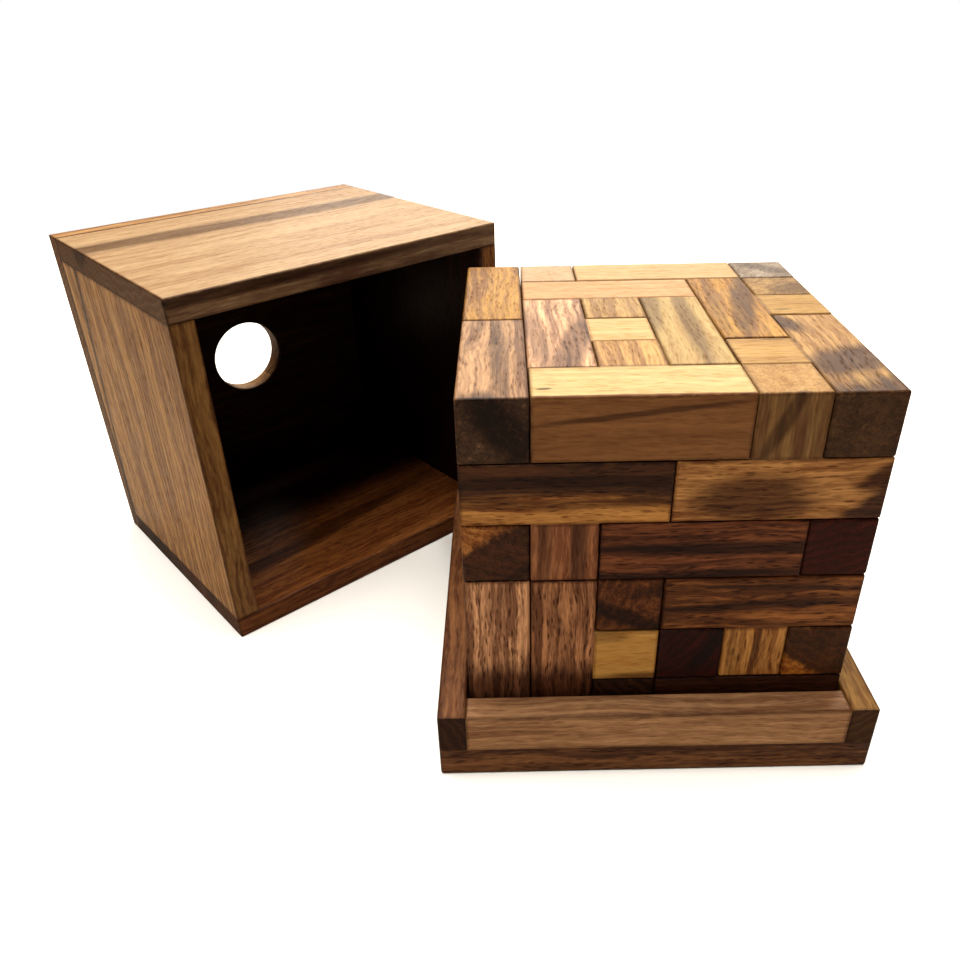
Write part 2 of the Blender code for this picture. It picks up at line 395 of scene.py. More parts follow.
def grain_group() -> bpy.types.NodeTree:
    """Make the group that draws wood figure along X of a place in the log, in metres.

    Returns:
        A group that gives broad bands, narrower streaks, growth rings, fine fibre and open pores.
    """
    w, given, gives = new_group(
        "Timber grain",
        {"Timber": (0.0, 0.0, 0.0), "Ring Pitch": 3.2, "Pore Spacing": 1.0},
        ("Bands", "Streaks", "Rings", "Fibre", "Pores"),
    )
    in_mm = w.scale(given["Timber"], 1.0 / MM)
    # The grain swings a few millimetres from side to side along the log.
    bend = w.noise(w.stretch(in_mm, (0.028, 0.06, 0.06)), 1.0)
    swing = w.vector("SUBTRACT", bend.outputs["Color"], (0.5, 0.5, 0.5))
    wavy = w.vector("ADD", in_mm, w.stretch(swing, (0.0, 6.0, 6.0)))

    bands = w.noise(w.stretch(wavy, (0.05, 1.0, 1.0)), 0.15, detail=3.0, rough=0.55)
    w.feed(gives["Bands"], w.ramp(bands.outputs["Fac"], 0.40, 0.60))
    streaks = w.noise(w.stretch(wavy, (0.045, 1.0, 1.0)), 0.62, detail=3.0, rough=0.6)
    w.feed(gives["Streaks"], w.ramp(streaks.outputs["Fac"], 0.40, 0.60))

    _, across, up = w.split(wavy)
    radius = w.math("SQRT", w.plus(w.math("POWER", across, 2.0), w.math("POWER", up, 2.0)))
    grown = w.plus(w.math("DIVIDE", radius, given["Ring Pitch"]), w.times(bands.outputs["Fac"], 2.0))
    ring = w.math("FRACT", grown)
    w.feed(gives["Rings"], w.times(w.ramp(ring, 0.0, 0.8), w.ramp(ring, 1.0, 0.88)))

    fibre = w.noise(w.stretch(wavy, (0.11, 1.0, 1.0)), 1.3, rough=0.6)
    w.feed(gives["Fibre"], w.ramp(fibre.outputs["Fac"], 0.38, 0.62))

    # Long pores, and shorter slits between them, both more crowded along the dark streaks.
    spacing = w.vector("DIVIDE", w.stretch(wavy, (0.17, 1.0, 1.0)), given["Pore Spacing"])
    pore = w.ramp(w.cells(spacing), 0.38, 0.20)
    slit = w.ramp(w.cells(w.stretch(spacing, (1.3, 2.1, 2.1))), 0.36, 0.18)
    open_grain = w.math("MAXIMUM", pore, w.times(slit, 0.6))
    crowd = w.ramp(streaks.outputs["Fac"], 0.36, 0.56)
    w.feed(gives["Pores"], w.times(open_grain, w.times_plus(crowd, 0.6, 0.4)))
    return w.tree


def heart_group() -> bpy.types.NodeTree:
    """Make the group that says how much of a place is heartwood, and how much is knot, dark streak or
    painted shade.

    Returns:
        A group that gives the heartwood, the dark line where it begins, and the knots; some hearts and
        knots are painted shade.
    """
    w, given, gives = new_group(
        "Heartwood And Painted Shade",
        {"Timber": (0.0, 0.0, 0.0), "Heart": -1.0, "First Spot": (FAR, FAR, FAR),
         "Second Spot": (FAR, FAR, FAR), "Depth": (0.0, 0.0, 0.0)},
        ("Heartwood And Painted Shade", "Boundary", "Knots And Painted Shade"),
    )
    long = w.stretch(w.scale(given["Timber"], 1.0 / MM), (0.10, 1.0, 1.0))
    wander = w.noise(long, 0.30, detail=4.0, rough=0.65)
    uneven = w.minus(wander.outputs["Fac"], 0.5)
    reach = w.times_plus(uneven, 12 * MM, given["Heart"])
    w.feed(gives["Heartwood And Painted Shade"], w.ramp(reach, -2.2 * MM, 3.0 * MM))
    rising, falling = w.ramp(reach, -3.0 * MM, 0.5 * MM), w.ramp(reach, 5.0 * MM, 1.0 * MM)
    w.feed(gives["Boundary"], w.times(rising, falling))
    first, second, _ = w.split(given["Depth"])
    shades = []
    for label, depth in (("First Spot", first), ("Second Spot", second)):
        size = w.vector("LENGTH", given[label])
        shades.append(w.times(depth, w.ramp(w.times_plus(uneven, 0.7, size), 1.25, 0.50)))
    w.feed(gives["Knots And Painted Shade"], w.math("MAXIMUM", *shades))
    return w.tree


def edge_group() -> bpy.types.NodeTree:
    """Make the group that finds a stick's edges, from how far a place is from its nearest two sides.

    Returns:
        A group that gives the painted shade along the edges, where the grooves between pieces fall dark,
        and the patches of it that are worn pale.
    """
    w, given, gives = new_group(
        "Eased edges",
        {"Place": (0.0, 0.0, 0.0), "Half": (1.0, 1.0, 1.0), "Timber": (0.0, 0.0, 0.0)},
        ("Painted Edge Shade", "Worn"),
    )
    x, y, z = w.split(w.vector("SUBTRACT", given["Half"], w.vector("ABSOLUTE", given["Place"])))
    least = w.math("MINIMUM", w.math("MINIMUM", x, y), z)
    most = w.math("MAXIMUM", w.math("MAXIMUM", x, y), z)
    middle = w.minus(w.minus(w.plus(w.plus(x, y), z), least), most)
    # Painted shade: a dark rim along every eased edge, for the shade in the grooves between pieces.
    w.feed(gives["Painted Edge Shade"], w.ramp(middle, 1.2 * MM, 0.3 * MM))
    patches = w.noise(w.scale(given["Timber"], 260.0), 1.0, detail=3.0, rough=0.6)
    near = w.ramp(middle, 1.1 * MM, 0.3 * MM)
    w.feed(gives["Worn"], w.times(near, w.ramp(patches.outputs["Fac"], 0.46, 0.60)))
    return w.tree


def oil_group() -> bpy.types.NodeTree:
    """Make the group that varies the oil film: uneven gloss, with dry pores and dry end grain.

    Returns:
        A group that gives the roughness.
    """
    w, given, gives = new_group(
        "Oil film",
        {"Timber": (0.0, 0.0, 0.0), "Roughness": 0.42, "Pores": 0.0, "End Grain": 0.0},
        ("Roughness",),
    )
    wipe = w.noise(w.scale(given["Timber"], 90.0), 1.0, detail=3.0)
    uneven = w.times(w.minus(wipe.outputs["Fac"], 0.5), 0.16)
    dry = w.times_plus(given["Pores"], 0.25, w.plus(given["Roughness"], uneven))
    w.feed(gives["Roughness"], w.times_plus(given["End Grain"], 0.12, dry, clamp=True))
    return w.tree


@dataclass
class WoodShop:
    """Makes the wood materials, one for each finish, from four shared node groups."""

    groups: dict[str, bpy.types.NodeTree] = field(default_factory=dict)
    made: dict[Tone, bpy.types.Material] = field(default_factory=dict)
    knot_and_painted_shade: Color = (0.22, 0.17, 0.16)
    oil_shade: Color = (0.26, 0.19, 0.15)
    # The colour of the painted shade along the eased edges.
    painted_edge_shade: Color = (0.42, 0.34, 0.28)

    def prepare(self) -> None:
        """Make the shared groups."""
        self.groups = {"grain": grain_group(), "heart": heart_group(), "edge": edge_group(),
                       "oil": oil_group()}

    def use(self, w: Wiring, name: str, **values: object) -> dict[str, Socket]:
        """Place a shared group in a material.

        Args:
            w: the material's wiring.
            name: the group's short name.
            values: what feeds each input, with an underscore for a space in its name.

        Returns:
            The group's outputs by name.
        """
        node = w.node("ShaderNodeGroup")
        node.node_tree = self.groups[name]
        for label, value in values.items():
            w.feed(node.inputs[label.replace("_", " ")], value)
        return dict(node.outputs.items())

    def material(self, tone: Tone) -> bpy.types.Material:
        """Return the material of a tone, made the first time that it is asked for.

        Args:
            tone: the wood.

        Returns:
            The material.
        """
        if tone in self.made:
            return self.made[tone]
        finish = FINISHES[tone]
        material = bpy.data.materials.new(tone.value)
        material.use_nodes = True
        w = Wiring(material.node_tree)

        def read(name: str, output: str) -> Socket:
            """Read one of the piece's own attributes."""
            return w.node("ShaderNodeAttribute", attribute_name=name).outputs[output]

        timber, end = read("timber", "Vector"), read("end_grain", "Fac")
        grain = self.use(w, "grain", Timber=timber, Ring_Pitch=finish.ring_pitch,
                         Pore_Spacing=finish.pore_spacing)
        heart = self.use(w, "heart", Timber=timber, Heart=read("heart", "Fac"),
                         First_Spot=read("spot_one", "Vector"), Second_Spot=read("spot_two", "Vector"),
                         Depth=read("spot_depth", "Vector"))
        edge = self.use(w, "edge", Place=read("place", "Vector"), Half=read("half", "Vector"), Timber=timber)
        film = self.use(w, "oil", Timber=timber, Roughness=finish.roughness, Pores=grain["Pores"],
                        End_Grain=end)

        figure = self._figure(w, finish, grain, end)
        sap = w.mix(figure, (*finish.sap_light, 1.0), (*finish.sap_dark, 1.0))
        core = w.mix(figure, (*finish.heart_light, 1.0), (*finish.heart_dark, 1.0))
        # Heartwood; on the cover's right wall and top panel it is painted shade on the inner face.
        wood = w.mix(heart["Heartwood And Painted Shade"], sap, core)
        wood = w.mix(w.times(heart["Boundary"], 0.20), wood, (*finish.heart_dark, 1.0))
        # Knots, dark streaks and patches of painted shade.
        wood = w.darken(heart["Knots And Painted Shade"], wood, self.knot_and_painted_shade)
        wood = w.mix(1.0, wood, read("tint", "Color"), "MULTIPLY")
        wood = w.darken(w.times(end, 0.55), wood, self.oil_shade)
        closed = w.times_plus(end, -0.8, 1.0, clamp=True)
        wood = w.darken(w.times(w.times(grain["Pores"], closed), finish.pores), wood, self.oil_shade)
        # Painted shade along the eased edges.
        wood = w.darken(w.times(edge["Painted Edge Shade"], 0.70), wood, self.painted_edge_shade)
        wood = w.mix(w.times(edge["Worn"], 0.10), wood, sap)

        bump = w.node("ShaderNodeBump")
        bump.inputs["Strength"].default_value = 0.5
        bump.inputs["Distance"].default_value = 0.15 * MM
        w.feed(bump.inputs["Height"], w.minus(w.times(grain["Fibre"], 0.3), grain["Pores"]))
        sockets = material.node_tree.nodes["Principled BSDF"].inputs
        w.feed(sockets["Base Color"], wood)
        w.feed(sockets["Roughness"], film["Roughness"])
        w.feed(sockets["Normal"], bump.outputs["Normal"])
        w.feed(sockets["Specular IOR Level"], 0.08)
        w.feed(sockets["Coat Weight"], 0.04)
        w.feed(sockets["Coat Roughness"], 0.30)
        self.made[tone] = material
        return material

    def _figure(self, w: Wiring, finish: WoodFinish, grain: dict[str, Socket], end: Socket) -> Socket:
        """Add up the grain: bands, streaks, rings and fibre, evened out on end grain but for its ring arcs.

        Args:
            w: the material's wiring.
            finish: the wood.
            grain: the grain group's outputs.
            end: how far a place is end grain.

        Returns:
            How dark the figure is, from 0 to 1.
        """
        figure = w.times(grain["Bands"], 0.50 * finish.streaks)
        figure = w.times_plus(grain["Streaks"], 0.45 * finish.streaks, figure)
        figure = w.times_plus(grain["Rings"], 0.25 * finish.streaks, figure)
        figure = w.times_plus(grain["Fibre"], 0.60 * finish.fibre, figure, clamp=True)
        figure = w.times_plus(w.minus(0.6, figure), w.times(end, 0.55), figure)
        return w.plus(figure, w.times(w.times(grain["Rings"], end), 0.35), clamp=True)


# ------------------------------------------------------------------------------------------ modelling


def select_only(obj: bpy.types.Object) -> None:
    """Deselect everything, then select one object and make it active."""
    bpy.ops.object.select_all(action="DESELECT")
    obj.select_set(True)
    bpy.context.view_layer.objects.active = obj


@contextmanager
def editing(obj: bpy.types.Object) -> Iterator[None]:
    """Open an object in edit mode, and close it again at the end."""
    select_only(obj)
    bpy.ops.object.mode_set(mode="EDIT")
    yield
    bpy.ops.object.mode_set(mode="OBJECT")


def pick_nothing(obj: bpy.types.Object, kind: str) -> None:
    """Deselect an object's vertices, edges and faces, ready for picking some of one kind."""
    with editing(obj):
        bpy.ops.mesh.select_mode(type=kind)
        bpy.ops.mesh.select_all(action="DESELECT")


def add_block_form(name: str, low: Vector, high: Vector) -> bpy.types.Object:
    """Add a cube primitive and stretch it in edit mode between two corners.

    Args:
        name: the new object's name.
        low: its lowest corner.
        high: its highest corner.

    Returns:
        The object, at the origin, with its place in its mesh.
    """
    bpy.ops.object.select_all(action="DESELECT")
    bpy.ops.mesh.primitive_cube_add(size=1.0, location=(0.0, 0.0, 0.0))
    obj = bpy.context.object
    obj.name = obj.data.name = name
    with editing(obj):
        bpy.ops.mesh.select_all(action="SELECT")
        bpy.ops.transform.resize(value=tuple(high - low))
        bpy.ops.transform.translate(value=tuple((high + low) / 2))
    return obj


def ease_edges(obj: bpy.types.Object, width: float, wanted: EdgeTest) -> None:
    """Round off some of an object's sharp edges in edit mode.

    Args:
        obj: the object.
        width: how far the rounding reaches from the edge.
        wanted: picks the edges.
    """
    pick_nothing(obj, "EDGE")
    mesh = obj.data
    faces_at: dict[tuple[int, int], list[int]] = {}
    for polygon in mesh.polygons:
        for key in polygon.edge_keys:
            faces_at.setdefault(key, []).append(polygon.index)
    for edge in mesh.edges:
        a, b = (mesh.vertices[i].co for i in edge.vertices)
        sides = [mesh.polygons[i].normal for i in faces_at.get(edge.key, [])]
        sharp = len(sides) == 2 and sides[0].angle(sides[1]) > SHARP
        edge.select = sharp and wanted((a + b) / 2, (b - a).normalized())
    with editing(obj):
        bpy.ops.mesh.bevel(offset=width, offset_type="OFFSET", segments=3, affect="EDGES", clamp_overlap=True)
        bpy.ops.mesh.select_all(action="SELECT")
        bpy.ops.mesh.normals_make_consistent(inside=False)


def keep_flats(obj: bpy.types.Object) -> None:
    """Shade the rounded edges smooth and the sawn faces flat.

    Args:
        obj: a piece whose sawn faces lie square to its own axes.
    """
    select_only(obj)
    bpy.ops.object.shade_smooth_by_angle(angle=SMOOTH)
    pick_nothing(obj, "FACE")
    for polygon in obj.data.polygons:
        polygon.select = max(abs(c) for c in polygon.normal) > SQUARE
    with editing(obj):
        bpy.ops.mesh.faces_shade_flat()


def join_frame(piece: bpy.types.Object, body: str, node: str) -> None:
    """Make a piece ride on a body in place of a CAD node, and hide that node.

    Args:
        piece: the finished piece.
        body: the body that carries it.
        node: the CAD node that it stands for.
    """
    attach(piece, body)
    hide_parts(node)


def copy_piece(master: bpy.types.Object, name: str) -> bpy.types.Object:
    """Copy a modelled piece with a mesh of its own."""
    obj = master.copy()
    obj.data = master.data.copy()
    obj.name = obj.data.name = name
    bpy.context.scene.collection.objects.link(obj)
    return obj


@dataclass
class Stick:
    """One finished stick, block or board: writes what its wood needs to know, and dresses it.

    The piece is still in its own axes when this is used, with its grain along X, centred on the origin.
    """

    obj: bpy.types.Object
    timber: Timber
    place: Matrix

    def dress(self, shop: WoodShop, dice: random.Random) -> None:
        """Write the attributes, move the mesh to its place and assign the material.

        Args:
            shop: gives the material.
            dice: draws the stretch of log for a piece whose timber names none.
        """
        timber, mesh = self.timber, self.obj.data
        points = [vertex.co.copy() for vertex in mesh.vertices]
        half = [max(abs(p[i]) for p in points) for i in range(3)]
        source = random.Random(timber.log) if timber.log else dice
        # Where in the log it lay: anywhere along it, but never on the pith, where the rings close up.
        start = Vector((source.uniform(-2, 2), source.uniform(0.012, 0.07), source.uniform(-0.05, 0.05)))
        turn = Matrix.Rotation(source.uniform(0, math.tau), 3, "X")
        self._write("timber", [turn @ p + start for p in points])
        self._write("place", points)
        self._write("half", [half] * len(points))
        ends = mesh.attributes.new("end_grain", "FLOAT", "FACE")
        ends.data.foreach_set("value", [timber.ends * (abs(f.normal.x) > 0.6) for f in mesh.polygons])
        mesh.transform(self.place)
        world = [vertex.co.copy() for vertex in mesh.vertices]
        heart = mesh.attributes.new("heart", "FLOAT", "POINT")
        heart.data.foreach_set("value", self._heartwood_and_painted_shade(world))
        spots = (*timber.spots, None, None)
        for name, spot in zip(("spot_one", "spot_two"), spots):
            self._write(name, self._spot(spot, world))
        self._write("spot_depth", [[spot.depth if spot else 0.0 for spot in spots[:2]] + [0.0]] * len(points))
        tint = mesh.attributes.new("tint", "FLOAT_COLOR", "POINT")
        tint.data.foreach_set("color", (*timber.tint, 1.0) * len(points))
        mesh.materials.clear()
        mesh.materials.append(shop.material(timber.tone))

    def _write(self, name: str, values: list) -> None:
        """Write one vector attribute on the mesh's points."""
        attribute = self.obj.data.attributes.new(name, "FLOAT_VECTOR", "POINT")
        attribute.data.foreach_set("vector", [c for value in values for c in value])

    def _heartwood_and_painted_shade(self, world: list[Vector]) -> list[float]:
        """Find how far each point lies inside the heartwood, which on two of the cover's boards is painted
        shade.

        Args:
            world: the piece's points in the row's frame.

        Returns:
            One distance for each point, in metres, below zero in the sapwood.
        """
        heart = self.timber.heart
        if heart is None:
            return [-1.0] * len(world)
        normal = Vector(heart.normal).normalized()
        origin = cell_point(heart.place)
        return [(p - origin).dot(normal) * heart.firm for p in world]

    def _spot(self, spot: Spot | None, world: list[Vector]) -> list[Vector]:
        """Return each point's place in a spot's own measure, where its rim is at length 1.

        Args:
            spot: the spot, or None.
            world: the piece's points in the row's frame.

        Returns:
            One vector for each point, far outside the rim where there is no spot.
        """
        if spot is None:
            return [Vector((FAR, FAR, FAR))] * len(world)
        along = Vector(spot.along).normalized()
        side = along.orthogonal().normalized()
        length, breadth = (reach * UNIT for reach in spot.reach)
        measure = Matrix((along / length, side / breadth, along.cross(side) / breadth))
        origin = cell_point(spot.place)
        return [measure @ (p - origin) for p in world]


# ------------------------------------------------------------------------------------------ the cube


@dataclass
class TeeForm:
    """The shape of one T: a bar along X with a block on the +Y side of its middle unit."""

    unit: float = UNIT
    gap: float = PIECE_GAP
    eases: tuple[float, ...] = (0.00045, 0.0006, 0.0008)
    glue_line: float = 0.00004

    @property
    def half(self) -> float:
        """Half the thickness of a stick."""
        return (self.unit - self.gap) / 2

    def bar(self, ease: float) -> bpy.types.Object:
        """Model the bar: a stretched cube, cut at the block's sides, with its free edges rounded.

        Args:
            ease: how far its rounded edges reach.

        Returns:
            The bar, centred on the origin.
        """
        half = self.half
        corner = Vector(((3 * self.unit - self.gap) / 2, half, half))
        obj = add_block_form("bar_form", -corner, corner)
        with editing(obj):
            for side in (-half, half):
                bpy.ops.mesh.select_all(action="SELECT")
                bpy.ops.mesh.bisect(plane_co=(side, 0, 0), plane_no=(1, 0, 0))

        def free(middle: Vector, way: Vector) -> bool:
            """Leave the seam of the block as it was glued."""
            return not (abs(middle.x) < half / 2 and middle.y > half / 2 and abs(way.x) > 0.9)

        ease_edges(obj, ease, free)
        keep_flats(obj)
        return obj

    def block(self, ease: float) -> bpy.types.Object:
        """Model the block with its grain along X and its glued end, which stays sharp, at -X.

        Args:
            ease: how far its rounded edges reach.

        Returns:
            The block, centred on the origin.
        """
        long = (self.unit - self.glue_line) / 2
        corner = Vector((long, self.half, self.half))
        obj = add_block_form("block_form", -corner, corner)
        ease_edges(obj, ease, lambda middle, way: middle.x > -long * 0.9)
        keep_flats(obj)
        return obj


@dataclass(frozen=True)
class TeeCells:
    """Where a T lies: the three cells of its bar, and the cell of its block."""

    bar: tuple[Cell, Cell, Cell]
    block: Cell


def find_cells(node: bpy.types.Object) -> TeeCells:
    """Find which cells of the cube a T's solid fills.

    Args:
        node: the CAD node of the T.

    Returns:
        Its bar's cells and its block's cell.
    """
    floor = cell_point((0, 0, 0))
    corners = [(v.co - floor) / UNIT for v in node.data.vertices]
    # A T's sides lie a hair inside its cells, so rounding finds the cells' own corners.
    spans = [range(round(min(c[i] for c in corners)), round(max(c[i] for c in corners))) for i in range(3)]
    filled = []
    for cell in itertools.product(*spans):
        centre = cell_point(tuple(c + 0.5 for c in cell))
        found, near, normal, _ = node.closest_point_on_mesh(centre)
        if found and (centre - near).dot(normal) < 0:
            filled.append(cell)
    for axis, cell in itertools.product(range(3), filled):
        line = [c for c in filled if all(c[i] == cell[i] for i in range(3) if i != axis)]
        if len(line) == 3:
            return TeeCells(tuple(sorted(line)), next(c for c in filled if c not in line))
    raise ValueError(f"{node.name} isn't a T: {filled}")


# The T pieces whose bars show on the cube's top or front, by the bar's first cell: the bar's timber, then
# the block's where that shows too.
SHOWING: dict[Cell, tuple[Timber, Timber | None]] = {
    (0, 3, 5): (Timber(Tone.ORANGE, (0.72, 0.76, 0.37), log=11), None),
    (0, 0, 5): (
        Timber(Tone.ROSE, (0.89, 1.00, 0.91), heart=Heart((0, -1, 0), (0.5, 0.03, 5.5), 5.0), spots=(
            Spot((0.60, 1.5, 6), (-0.02, 1, 0), (1.9, 0.16), 0.70),
            Spot((0.62, 0, 5.55), (-0.75, 0, 1), (0.95, 0.34), 1.0)), ends=0.15, log=12),
        None,
    ),
    (1, 0, 5): (
        Timber(Tone.STRAW, (0.78, 0.85, 1.00), heart=Heart((0, -1, 0), (2.5, 0.05, 5.5), 6.0), spots=(
            Spot((2.55, 0, 5.74), (1, 0, 0.11), (1.7, 0.05), 0.75),
            Spot((1.20, 0.27, 6), (1, 0.1, 0), (0.11, 0.035), 1.0)), log=13),
        Timber(Tone.TAN, (0.97, 1.05, 0.84), log=14),
    ),
    (3, 0, 4): (
        Timber(Tone.GOLDEN, (1.01, 1.01, 1.06), heart=Heart((1, 0, -1.0), (5.72, 0, 4.34), 1.6), spots=(
            Spot((4.15, 0, 4.36), (1, 0, -0.05), (0.98, 0.42), 0.95),
            Spot((5.95, 0, 4.72), (1, 0, 0.6), (0.52, 0.20), 1.0)), log=15),
        Timber(Tone.PEACH, (0.71, 0.71, 0.57), heart=Heart((0, -1, 0), (4.5, 0.018, 5.5), 4.0), spots=(
            Spot((4.42, 0, 5.60), (0.45, 0, 1), (0.85, 0.12), 0.75),), ends=0.1, log=16),
    ),
    (5, 0, 5): (
        Timber(Tone.TAN, (0.90, 0.97, 0.76), heart=Heart((0.25, -1, 0), (5.5, 0.42, 6), 0.5), spots=(
            Spot((5.60, 1.10, 6), (1, 0.45, 0), (1.00, 0.50), 1.0),
            Spot((5.02, 2.72, 6), (0.60, -1, 0), (0.62, 0.26), 1.0)), ends=0.15, log=17),
        Timber(Tone.PEACH, (0.67, 0.66, 0.43), spots=(
            Spot((4.72, 1.93, 6), (1, 0.05, 0), (0.28, 0.035), 0.7),), log=18),
    ),
    (1, 1, 5): (
        Timber(Tone.ROSE, (1.40, 1.65, 1.72), spots=(
            Spot((1.18, 2.1, 6), (-0.12, 1, 0), (1.6, 0.20), 0.70),
            Spot((1.74, 1.9, 6), (0.22, 1, 0), (1.9, 0.26), 0.80)), log=19),
        Timber(Tone.STRAW, (0.86, 0.80, 0.90), log=20),
    ),
    (3, 1, 5): (
        Timber(Tone.PEACH, (0.70, 0.80, 0.69), spots=(
            Spot((3.62, 2.7, 6), (0.02, 1, 0), (2.1, 0.16), 0.62),
            Spot((3.10, 3.6, 6), (0.10, 1, 0), (1.6, 0.22), 0.62)), log=21),
        Timber(Tone.BROWN, (0.88, 0.67, 0.47), log=22),
    ),
    (4, 2, 5): (
        Timber(Tone.TAN, (0.91, 0.89, 0.35), spots=(
            Spot((4.68, 3.6, 6), (0.22, 1, 0), (2.0, 0.22), 0.85),
            Spot((4.20, 3.4, 6), (0.05, 1, 0), (1.8, 0.12), 0.55)), log=23),
        Timber(Tone.PEACH, (0.61, 0.59, 0.32), spots=(
            Spot((5.25, 3.24, 6), (1, 0.1, 0), (0.16, 0.04), 0.7),), log=24),
    ),
    (1, 4, 5): (
        Timber(Tone.STRAW, (0.75, 0.63, 0.77), log=25),
        Timber(Tone.TAN, (0.92, 1.08, 0.89), log=26),
    ),
    (2, 5, 5): (Timber(Tone.STRAW, (0.73, 0.71, 0.89), log=27), None),
    (0, 0, 4): (
        Timber(Tone.GOLDEN, (1.01, 0.97, 0.83), heart=Heart((0, 0, 1), (1.5, 0, 4.44), 0.8), spots=(
            Spot((1.5, 0, 4.70), (1, 0, 0), (3.0, 0.12), 0.85),
            Spot((1.5, 0, 4.34), (1, 0, 0.01), (2.6, 0.08), 0.6)), log=28),
        Timber(Tone.ORANGE, (0.97, 0.87, 1.08), spots=(
            Spot((1.70, 0, 3.5), (0, 0, 1), (1.3, 0.14), 0.85),
            Spot((1.20, 0, 3.5), (0, 0, 1), (1.3, 0.12), 0.75)), log=29),
    ),
    (2, 0, 3): (
        Timber(Tone.BROWN, (0.54, 0.37, 0.28), spots=(
            Spot((3.60, 0, 3.53), (1, 0, 0), (2.4, 0.13), 0.95),
            Spot((3.20, 0, 3.08), (1, 0, 0.02), (2.2, 0.09), 0.9)), log=30),
        None,
    ),
    (3, 0, 2): (
        Timber(Tone.BROWN, (0.80, 0.64, 0.37), spots=(
            Spot((4.30, 0, 2.44), (1, 0, 0.05), (2.2, 0.09), 0.95),
            Spot((4.70, 0, 2.80), (1, 0, -0.02), (2.0, 0.06), 0.7)), log=31),
        Timber(Tone.GOLDEN, (0.98, 0.95, 0.80), spots=(
            Spot((4.53, 0, 1.5), (0.05, 0, 1), (0.8, 0.07), 0.7),
            Spot((4.18, 0, 1.5), (-0.05, 0, 1), (0.8, 0.12), 0.4)), log=32),
    ),
    (0, 0, 0): (
        Timber(Tone.BROWN, (1.99, 2.32, 2.64), spots=(
            # Painted shade: darkens the bottom of the cube's front, above the tray's front rail.
            Spot((0.50, 0, 0.70), (1, 0, 0), (2.0, 0.66), 1.0),), log=33),
        None,
    ),
    (1, 0, 0): (
        Timber(Tone.BROWN, (1.34, 1.35, 1.35), spots=(
            # Painted shade: darkens the bottom of the cube's front, above the tray's front rail.
            Spot((1.50, 0, 0.70), (1, 0, 0), (2.0, 0.66), 1.0),), log=34),
        Timber(Tone.STRAW, (0.91, 0.74, 0.51), spots=(
            # Painted shade along the bottom edge of the block.
            Spot((2.75, 0, 0.99), (1, 0, 0.04), (0.9, 0.17), 0.9),
            Spot((2.10, 0, 1.88), (1, 0, 0), (0.5, 0.12), 0.5)), log=35),
    ),
    # Painted shade: this bar's tint is lowered to darken the cube's bottom row.
    (3, 0, 0): (Timber(Tone.RED, (0.22, 0.19, 0.18), log=36), None),
}
# Cells that show on their own, on the end of a bar or block that runs inwards.
SHOWING_ALONE: dict[Cell, Timber] = {
    (1, 5, 5): Timber(Tone.STRAW, (0.71, 0.73, 1.15), ends=0.15, log=41),
    (5, 4, 5): Timber(Tone.TAN, (0.73, 0.82, 0.60), spots=(
        Spot((5.75, 4.35, 6), (1, 0.3, 0), (0.45, 0.34), 0.6),), ends=0.15, log=42),
    (5, 5, 5): Timber(Tone.TAN, (0.62, 0.94, 1.65), spots=(
        Spot((5.60, 5.55, 6), (1, -0.9, 0), (0.65, 0.22), 0.6),), ends=0.15, log=43),
    (0, 0, 3): Timber(
        Tone.GOLDEN, (1.17, 1.05, 0.90), heart=Heart((0.7, 0, -1), (0.30, 0, 3.70), 1.8), spots=(
            Spot((0.80, 0, 3.10), (1, 0, 0.9), (0.50, 0.10), 0.7),), ends=0.4, log=44),
    (5, 0, 3): Timber(Tone.RED, (0.43, 0.13, 0.05), log=45),
    (2, 0, 2): Timber(Tone.UMBER, (1.13, 0.79, 0.39), spots=(
        Spot((2.40, 0, 2.30), (1, 0, -0.42), (0.95, 0.17), 1.0),
        Spot((2.80, 0, 2.75), (1, 0, 0.3), (0.40, 0.12), 0.7)), ends=0.4, log=46),
    (3, 0, 1): Timber(Tone.UMBER, (0.39, 0.05, 0.05), spots=(
        Spot((3.75, 0, 1.55), (0.5, 0, 1), (0.80, 0.14), 0.8),), log=47),
    (5, 0, 1): Timber(
        Tone.GOLDEN, (1.17, 0.95, 0.41), heart=Heart((0.8, 0, 1), (5.22, 0, 1.30), 2.2), ends=0.4, log=48),
    # Painted shade: this tint is lowered to darken the cube's bottom row.
    (2, 0, 0): Timber(Tone.BROWN, (0.20, 0.17, 0.16), log=49),
}


